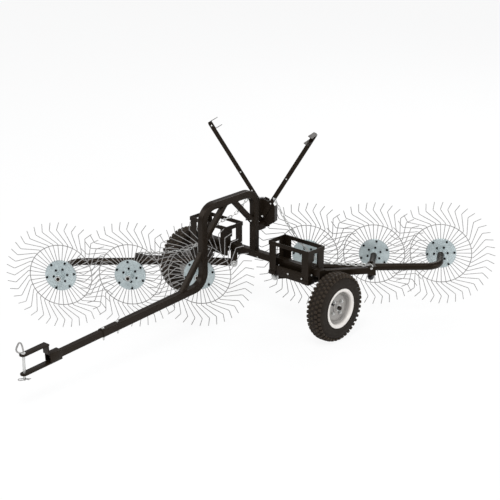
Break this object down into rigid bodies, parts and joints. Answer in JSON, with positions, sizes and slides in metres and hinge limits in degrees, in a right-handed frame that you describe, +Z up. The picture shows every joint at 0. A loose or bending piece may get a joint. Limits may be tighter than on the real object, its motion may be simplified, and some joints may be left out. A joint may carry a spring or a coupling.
{
  "type": "towed acreage rake",
  "caption": "Towed hay rake: an arched frame on two road wheels carries two diagonal gangs of tined reels, with lift levers, chains, weight trays and a pin hitch.",
  "frame": {"origin": "on the ground under the middle of the road axle", "axes": "+Z up, -Y forward towards the hitch, +X to the machine's left"},
  "size_m": [1.9596, 2.8896, 1.161],
  "materials": {
    "frame_paint": "satin powder coat",
    "zinc_plate": "bright zinc plate",
    "spring_wire": "grey plated spring wire",
    "rim_paint": "light grey paint",
    "tyre": "matt rubber"
  },
  "bodies": {
    "frame": {"arch": "frame_paint", "arm_bracket_left": "frame_paint", "arm_bracket_right": "frame_paint", "arm_pivot_bolt_left": "zinc_plate", "arm_pivot_bolt_right": "zinc_plate", "axle_leg_left": "frame_paint", "axle_leg_right": "frame_paint", "brace_front": "frame_paint", "brace_lower": "frame_paint", "brace_rear": "frame_paint", "cross_bar": "frame_paint", "drawbar": "frame_paint", "hitch_collar": "frame_paint", "hitch_hairpin": "zinc_plate", "hitch_lower_strap": "frame_paint", "hitch_pin": "zinc_plate", "hitch_upper_strap": "frame_paint", "lever_pivot_bolt": "zinc_plate", "lever_sector": "frame_paint", "lever_stand": "frame_paint", "tray_deck_left": "frame_paint", "tray_deck_right": "frame_paint", "tray_rack_left": "frame_paint", "tray_rack_right": "frame_paint"},
    "wheel_left": {"rim_left": "rim_paint", "tyre_left": "tyre"},
    "wheel_right": {"rim_right": "rim_paint", "tyre_right": "tyre"},
    "arm_left": {"arm_left": "frame_paint", "chain_lower_left": "zinc_plate", "swing_pin_left": "zinc_plate"},
    "arm_right": {"arm_right": "frame_paint", "chain_lower_right": "zinc_plate", "swing_pin_right": "zinc_plate"},
    "lever_left": {"chain_upper_left": "zinc_plate", "lever_handle_left": "frame_paint", "lever_left": "frame_paint"},
    "lever_right": {"chain_upper_right": "zinc_plate", "lever_handle_right": "frame_paint", "lever_right": "frame_paint"},
    "gang_left": {"gang_beam_left": "frame_paint"},
    "gang_right": {"gang_beam_right": "frame_paint"},
    "reel_left_inner": {"reel_hub_left_inner": "zinc_plate", "reel_ring_left_inner": "spring_wire", "reel_tines_left_inner": "spring_wire"},
    "reel_left_middle": {"reel_hub_left_middle": "zinc_plate", "reel_ring_left_middle": "spring_wire", "reel_tines_left_middle": "spring_wire"},
    "reel_left_outer": {"reel_hub_left_outer": "zinc_plate", "reel_ring_left_outer": "spring_wire", "reel_tines_left_outer": "spring_wire"},
    "reel_right_inner": {"reel_hub_right_inner": "zinc_plate", "reel_ring_right_inner": "spring_wire", "reel_tines_right_inner": "spring_wire"},
    "reel_right_middle": {"reel_hub_right_middle": "zinc_plate", "reel_ring_right_middle": "spring_wire", "reel_tines_right_middle": "spring_wire"},
    "reel_right_outer": {"reel_hub_right_outer": "zinc_plate", "reel_ring_right_outer": "spring_wire", "reel_tines_right_outer": "spring_wire"}
  },
  "joints": [
    {"name": "wheel_left_spin", "type": "hinge", "parent": "frame", "child": "wheel_left", "pos_m": [0.585, 0, 0.203], "axis": [1, 0, 0], "continuous": true},
    {"name": "wheel_right_spin", "type": "hinge", "parent": "frame", "child": "wheel_right", "pos_m": [-0.585, 0, 0.203], "axis": [1, 0, 0], "continuous": true},
    {"name": "arm_left_lift", "type": "hinge", "parent": "frame", "child": "arm_left", "pos_m": [0.1627, -0.035, 0.297], "axis": [0.6871, -0.7266, 0], "range_deg": [-4, 10]},
    {"name": "arm_right_lift", "type": "hinge", "parent": "frame", "child": "arm_right", "pos_m": [-0.1627, -0.035, 0.297], "axis": [-0.6871, 0.7266, 0], "range_deg": [-4, 10]},
    {"name": "gang_left_swing", "type": "hinge", "parent": "arm_left", "child": "gang_left", "pos_m": [0.541, 0.39018, 0.325], "axis": [0, 0, 1], "range_deg": [-6, 0]},
    {"name": "gang_right_swing", "type": "hinge", "parent": "arm_right", "child": "gang_right", "pos_m": [-0.541, -0.46018, 0.325], "axis": [0, 0, 1], "range_deg": [-6, 0]},
    {"name": "reel_left_inner_spin", "type": "hinge", "parent": "gang_left", "child": "reel_left_inner", "pos_m": [0.12286, 0.30515, 0.325], "axis": [-0.5505, 0.8348, 0], "continuous": true},
    {"name": "reel_left_middle_spin", "type": "hinge", "parent": "gang_left", "child": "reel_left_middle", "pos_m": [0.41494, 0.58136, 0.325], "axis": [-0.5505, 0.8348, 0], "continuous": true},
    {"name": "reel_left_outer_spin", "type": "hinge", "parent": "gang_left", "child": "reel_left_outer", "pos_m": [0.70702, 0.85757, 0.325], "axis": [-0.5505, 0.8348, 0], "continuous": true},
    {"name": "reel_right_inner_spin", "type": "hinge", "parent": "gang_right", "child": "reel_right_inner", "pos_m": [-0.12286, -0.37515, 0.325], "axis": [0.5505, -0.8348, 0], "continuous": true},
    {"name": "reel_right_middle_spin", "type": "hinge", "parent": "gang_right", "child": "reel_right_middle", "pos_m": [-0.41494, -0.65136, 0.325], "axis": [0.5505, -0.8348, 0], "continuous": true},
    {"name": "reel_right_outer_spin", "type": "hinge", "parent": "gang_right", "child": "reel_right_outer", "pos_m": [-0.70702, -0.92757, 0.325], "axis": [0.5505, -0.8348, 0], "continuous": true},
    {"name": "lever_left_swing", "type": "hinge", "parent": "frame", "child": "lever_left", "pos_m": [0, 0.0555, 0.611], "axis": [0.309, -0.9511, 0], "range_deg": [0, 58]},
    {"name": "lever_right_swing", "type": "hinge", "parent": "frame", "child": "lever_right", "pos_m": [0, 0.0555, 0.611], "axis": [-0.309, 0.9511, 0], "range_deg": [0, 58]}
  ]
}
